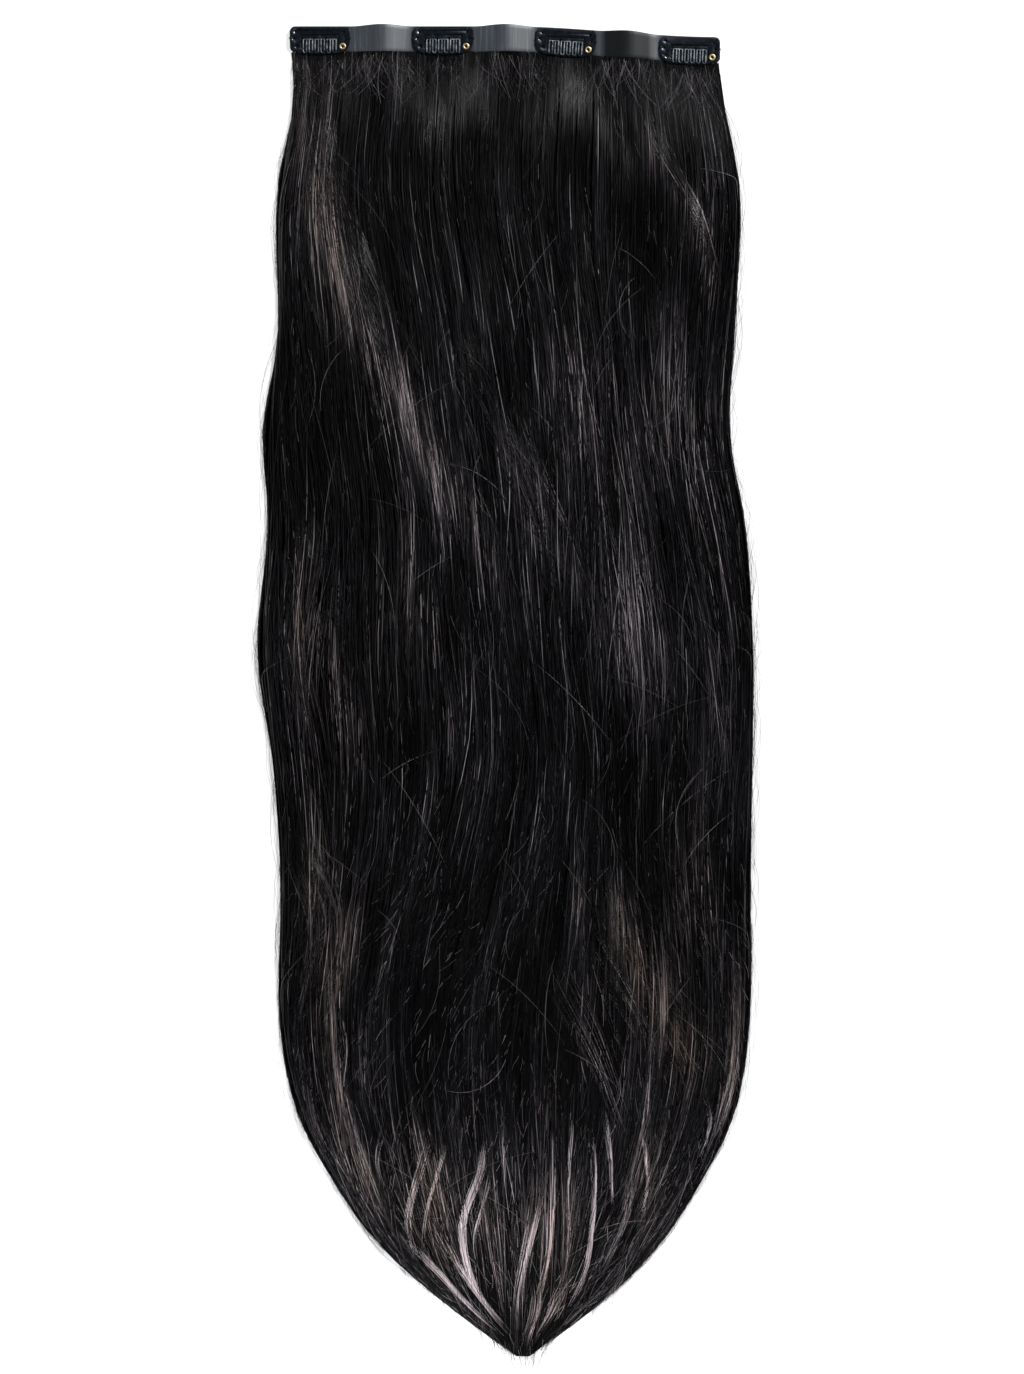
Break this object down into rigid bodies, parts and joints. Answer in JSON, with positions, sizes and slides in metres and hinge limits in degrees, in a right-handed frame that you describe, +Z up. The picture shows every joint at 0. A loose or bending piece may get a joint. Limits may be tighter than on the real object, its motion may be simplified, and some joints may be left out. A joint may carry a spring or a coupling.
{
  "type": "clip-in hair extension",
  "caption": "Long dark hair weft on a thin flat band, with sprung comb clips along the band that snap into a wearer's own hair.",
  "frame": {"origin": "on the surface that the weft lies on, below the middle of its outline", "axes": "+X along the band towards the end that lies lower, +Y from the hair's tip towards the band, +Z up, out of the clips' faces"},
  "size_m": [0.2288, 0.6274, 0.008],
  "materials": {
    "polyurethane": "satin, smooth sheet",
    "clip_steel": "gloss black spring steel",
    "eyelet_brass": "polished",
    "hair": "natural black hair, glossy strands"
  },
  "bodies": {
    "weft": {"weft_band": "polyurethane", "hair": "hair", "clip_1_frame": "clip_steel", "clip_1_eyelet": "eyelet_brass", "clip_2_frame": "clip_steel", "clip_2_eyelet": "eyelet_brass", "clip_3_frame": "clip_steel", "clip_3_eyelet": "eyelet_brass", "clip_4_frame": "clip_steel", "clip_4_eyelet": "eyelet_brass"},
    "comb_1": {"clip_1_comb": "clip_steel"},
    "comb_2": {"clip_2_comb": "clip_steel"},
    "comb_3": {"clip_3_comb": "clip_steel"},
    "comb_4": {"clip_4_comb": "clip_steel"}
  },
  "joints": [
    {"name": "comb_1_snap", "type": "hinge", "parent": "weft", "child": "comb_1", "pos_m": [-0.08623, 0.30892, 0.00195], "axis": [-1, 0, 0], "range_deg": [0, 40]},
    {"name": "comb_2_snap", "type": "hinge", "parent": "weft", "child": "comb_2", "pos_m": [-0.02888, 0.30892, 0.00195], "axis": [-1, 0, 0], "range_deg": [0, 40]},
    {"name": "comb_3_snap", "type": "hinge", "parent": "weft", "child": "comb_3", "pos_m": [0.02823, 0.30793, 0.00195], "axis": [-0.9982, 0.0608, 0], "range_deg": [0, 40]},
    {"name": "comb_4_snap", "type": "hinge", "parent": "weft", "child": "comb_4", "pos_m": [0.08568, 0.30419, 0.00195], "axis": [-0.9994, 0.0355, 0], "range_deg": [0, 40]}
  ]
}
